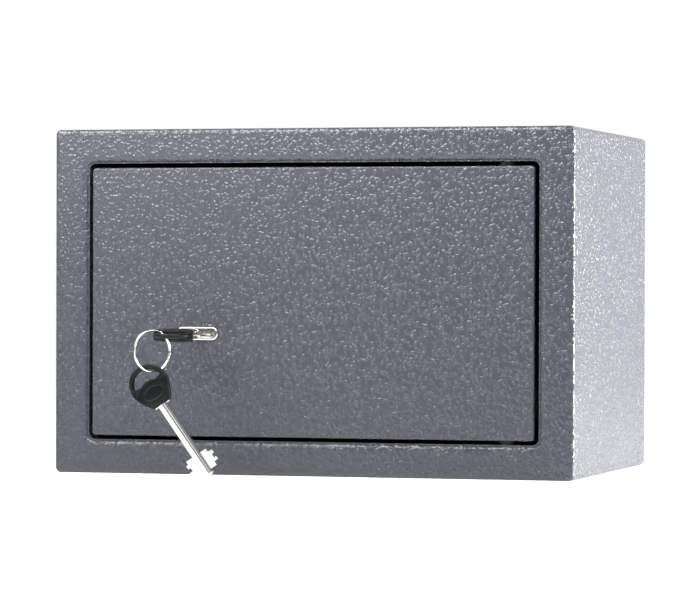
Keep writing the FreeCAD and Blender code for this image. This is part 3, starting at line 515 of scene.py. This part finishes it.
def blade_mesh():
    """One blade: drilled-tip shaft, two stepped bits and the tang that the bow is moulded over."""
    shape = bmesh.new()
    root, tip, chamfer, drilled = NECK - 2 * MM, NECK + SHAFT, 0.8 * MM, 0.9 * MM
    profile = [(root, 0), (root, SHAFT_RADIUS), (tip - chamfer, SHAFT_RADIUS),
               (tip, SHAFT_RADIUS - chamfer), (tip, drilled), (tip - drilled, 0)]
    ring = [shape.verts.new((x, r, 0)) for x, r in profile]
    edges = [shape.edges.new((ring[i], ring[i + 1])) for i in range(len(ring) - 1)]
    bmesh.ops.spin(shape, geom=ring + edges, cent=(0, 0, 0), axis=(1, 0, 0), angle=2 * math.pi, steps=48,
                   use_merge=True)
    bmesh.ops.remove_doubles(shape, verts=shape.verts, dist=1e-7)

    def slab(outline, half):
        corners = [shape.verts.new((x, y, -half)) for x, y in outline]
        face = shape.faces.new(corners)
        raised = bmesh.ops.extrude_face_region(shape, geom=[face])
        lifted = [v for v in raised["geom"] if isinstance(v, bmesh.types.BMVert)]
        bmesh.ops.translate(shape, vec=(0, 0, 2 * half), verts=lifted)
        solid = list({e for v in lifted + corners for e in v.link_edges})
        bmesh.ops.bevel(shape, geom=solid, offset=0.22 * MM, segments=2, affect="EDGES", profile=0.6)

    for side, steps in ((-1, BITS_LEFT), (1, BITS_RIGHT)):
        at = NECK + SHAFT - 2.6 * MM
        outline = [(at, 0)]
        for long, reach in steps:
            outline.append((at, side * reach * MM))
            at -= long * MM
            outline.append((at, side * reach * MM))
        outline.append((at, 0))
        slab(outline, 1.25 * MM)
    tang = 4.7 * MM
    slab([(NECK - 1 * MM, -tang), (NECK + 0.7 * MM, -tang), (NECK + 0.7 * MM, tang), (NECK - 1 * MM, tang)],
         1.0 * MM)
    bmesh.ops.recalc_face_normals(shape, faces=shape.faces)
    mesh = bpy.data.meshes.new("blade")
    shape.to_mesh(mesh)
    shape.free()
    return mesh


def ring_mesh():
    """A split ring: a spring wire wound twice, its coils side by side and its ends cut square."""
    keys = bpy.context.scene.safe_keys
    low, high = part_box("key_ring")
    middle = (low + high) / 2
    axis = Vector(JOINTS["ring_swing"]["axis"]).normalized()
    outward = axis.cross(Vector((0, 0, 1))).normalized()
    radius = (high.z - low.z) / 2 - 0.75 * MM
    steps, turns, sides = 192, 1.94, 10
    loops = []
    for step in range(steps + 1):
        share = step / steps
        turn = 2 * math.pi * turns * share + math.radians(200)
        shift = (smooth_rise(share, 0.47, 0.53) - 0.5) * keys.wire
        radial = outward * math.cos(turn) + Vector((0, 0, math.sin(turn)))
        centre = middle + radial * radius + axis * shift
        loop = []
        for side in range(sides):
            spin = 2 * math.pi * side / sides
            loop.append(centre + radial * (keys.wire * 0.55 * math.cos(spin)) + axis
                        * (keys.wire * 0.5 * math.sin(spin)))
        loops.append(loop)
    return capped(looped_mesh("split_ring", loops, closed=False))


def make_keys():
    bow, blade = bow_mesh(), blade_mesh()
    places = key_places()
    for number, (place, body) in enumerate(zip(places, ("key", "spare_key")), start=1):
        for kind, mesh, slot in (("bow", bow, "black_nylon"), ("blade", blade, "nickel_plate")):
            own = mesh.copy()
            own.transform(place)
            new_piece(f"{kind}_{number}", own, body, slot, f"key_{number}_{kind}",
                      sharp=180.0 if kind == "bow" else 40.0)
    new_piece("split_ring", ring_mesh(), "ring", "nickel_plate", "key_ring", sharp=60.0)


# --- carried-over parts -------------------------------------------------------------------------

def dress_cad_parts():
    """Every CAD part that stays in view gets the finish of its slot."""
    slots = {part["node"]: part["material_slot"] for part in frame["record"]["subparts"]}
    for name, part in NODES.items():
        material = finish_of(slots[name])
        if part.material_slots:
            for place in part.material_slots:
                place.material = material
        else:
            part.data.materials.append(material)


# --- studio ---------------------------------------------------------------------------------------

def plain_surface(name, code, roughness):
    made, tree, shader = new_material(name, Base_Color=linear(code), Roughness=roughness,
                                      Emission_Color=linear(code), Emission_Strength=0.43)
    where = add_node(tree, "ShaderNodeTexCoord").outputs["Object"]
    weave = add_node(tree, "ShaderNodeTexNoise", {"Vector": where, "Scale": 1 / (40 * MM)})
    tone = add_node(tree, "ShaderNodeMapRange", {"Value": weave.outputs["Fac"],
                                                 "To Min": roughness - 0.03, "To Max": roughness + 0.03})
    tree.links.new(tone.outputs[0], shader.inputs["Roughness"])
    return made


def area_light(name, place, target, size, power):
    """A white rectangular lamp at a place, turned to a target."""
    lamp = bpy.data.lights.new(name, "AREA")
    lamp.shape = "RECTANGLE"
    lamp.size, lamp.size_y = size
    lamp.energy = power
    made = bpy.data.objects.new(name, lamp)
    bpy.context.scene.collection.objects.link(made)
    made.location = place
    made.rotation_euler = (Vector(target) - Vector(place)).to_track_quat("-Z", "Y").to_euler()
    return made


def make_studio():
    studio = bpy.context.scene.safe_studio
    scene = bpy.context.scene
    mesh = bpy.data.meshes.new("floor")
    reach = 6.0
    mesh.from_pydata([(-reach, -reach, 0), (reach, -reach, 0), (reach, reach, 0), (-reach, reach, 0)], [],
                     [(0, 1, 2, 3)])
    floor = bpy.data.objects.new("floor", mesh)
    floor.location.z = -0.02 * MM
    scene.collection.objects.link(floor)
    floor.data.materials.append(plain_surface("white_acrylic_table", "FAFCFD", 0.5))

    world = bpy.data.worlds.new("surround")
    world.use_nodes = True
    world.node_tree.nodes.clear()
    tree = world.node_tree
    way = add_node(tree, "ShaderNodeTexCoord").outputs["Generated"]
    split = add_node(tree, "ShaderNodeSeparateXYZ", {"Vector": way})
    level = add_node(tree, "ShaderNodeMapRange", {"Value": split.outputs["Y"], "From Min": -0.35,
                                                  "From Max": 0.55, "To Min": studio.shade,
                                                  "To Max": studio.sky}, interpolation_type="SMOOTHSTEP")
    sky = add_node(tree, "ShaderNodeBackground", {"Color": (1, 1, 1, 1), "Strength": level.outputs[0]})
    add_node(tree, "ShaderNodeOutputWorld", {"Surface": sky.outputs[0]})
    scene.world = world

    area_light("right_softbox", (1.3, 0.35, 0.19), (0.155, 0.0, 0.14), (0.9, 0.34), 63.0)
    area_light("right_card", (0.40, -0.77, 0.50), (-0.05, -0.15, 0.05), (0.5, 0.5), 1.0)
    area_light("top_strip", (-0.08, -0.28, 0.37), (-0.06, -0.10, 0.17), (0.62, 0.08), 2.8)
    area_light("left_softbox", (-0.36, -0.55, 0.36), (-0.04, -0.10, 0.10), (0.35, 0.35), 1.3)

    camera = bpy.data.cameras.new("camera")
    camera.lens = studio.lens
    camera.sensor_width = 36.0
    eye = bpy.data.objects.new("camera", camera)
    scene.collection.objects.link(eye)
    eye.matrix_world = (Matrix.Translation(studio.place) @ Matrix.Rotation(studio.yaw, 4, "Z")
                        @ Matrix.Rotation(math.pi / 2 + studio.pitch, 4, "X")
                        @ Matrix.Rotation(studio.roll, 4, "Z"))
    scene.camera = eye
    scene.view_settings.view_transform = "Standard"


# --- operators and panel ------------------------------------------------------------------------

class SAFE_OT_studio(bpy.types.Operator):
    """Make the floor, the lights and the camera"""
    bl_idname = "safe.studio"
    bl_label = "Studio"

    def execute(self, context):
        make_studio()
        return {"FINISHED"}


class SAFE_OT_cad_finishes(bpy.types.Operator):
    """Give every carried-over CAD part its finish"""
    bl_idname = "safe.cad_finishes"
    bl_label = "Finishes of the CAD parts"

    def execute(self, context):
        dress_cad_parts()
        return {"FINISHED"}


class SAFE_OT_front_frame(bpy.types.Operator):
    """Make the front frame with its rolled lip"""
    bl_idname = "safe.front_frame"
    bl_label = "Front frame"

    def execute(self, context):
        make_front_frame()
        return {"FINISHED"}


class SAFE_OT_door_plate(bpy.types.Operator):
    """Make the door plate"""
    bl_idname = "safe.door_plate"
    bl_label = "Door plate"

    def execute(self, context):
        make_door_plate()
        return {"FINISHED"}


class SAFE_OT_keys(bpy.types.Operator):
    """Make both keys and their split ring"""
    bl_idname = "safe.keys"
    bl_label = "Keys and ring"

    def execute(self, context):
        make_keys()
        return {"FINISHED"}


class SAFE_PT_panel(bpy.types.Panel):
    """Sizes, colours and the steps that build the safe"""
    bl_idname = "SAFE_PT_panel"
    bl_label = "Key safe"
    bl_space_type = "VIEW_3D"
    bl_region_type = "UI"
    bl_category = "Safe"

    def draw(self, context):
        column = self.layout.column()
        for operator in OPERATORS:
            column.operator(operator.bl_idname)
        for word, group in SETTINGS.items():
            column.label(text=group.__doc__)
            for name in group.__annotations__:
                column.prop(getattr(context.scene, word), name)


SETTINGS = {
    "safe_coat": SafeCoatSettings,
    "safe_sheet": SafeSheetSettings,
    "safe_keys": SafeKeySettings,
    "safe_studio": SafeStudioSettings,
}
OPERATORS = (SAFE_OT_studio, SAFE_OT_cad_finishes, SAFE_OT_front_frame, SAFE_OT_door_plate, SAFE_OT_keys)


def register():
    for kind in (*SETTINGS.values(), *OPERATORS, SAFE_PT_panel):
        bpy.utils.register_class(kind)
    for word, group in SETTINGS.items():
        setattr(bpy.types.Scene, word, PointerProperty(type=group))


def unregister():
    for word in SETTINGS:
        delattr(bpy.types.Scene, word)
    for kind in reversed((*SETTINGS.values(), *OPERATORS, SAFE_PT_panel)):
        bpy.utils.unregister_class(kind)


def main():
    register()
    bpy.ops.safe.studio()
    bpy.ops.safe.cad_finishes()
    bpy.ops.safe.front_frame()
    bpy.ops.safe.door_plate()
    bpy.ops.safe.keys()


if __name__ == "__main__":
    main()
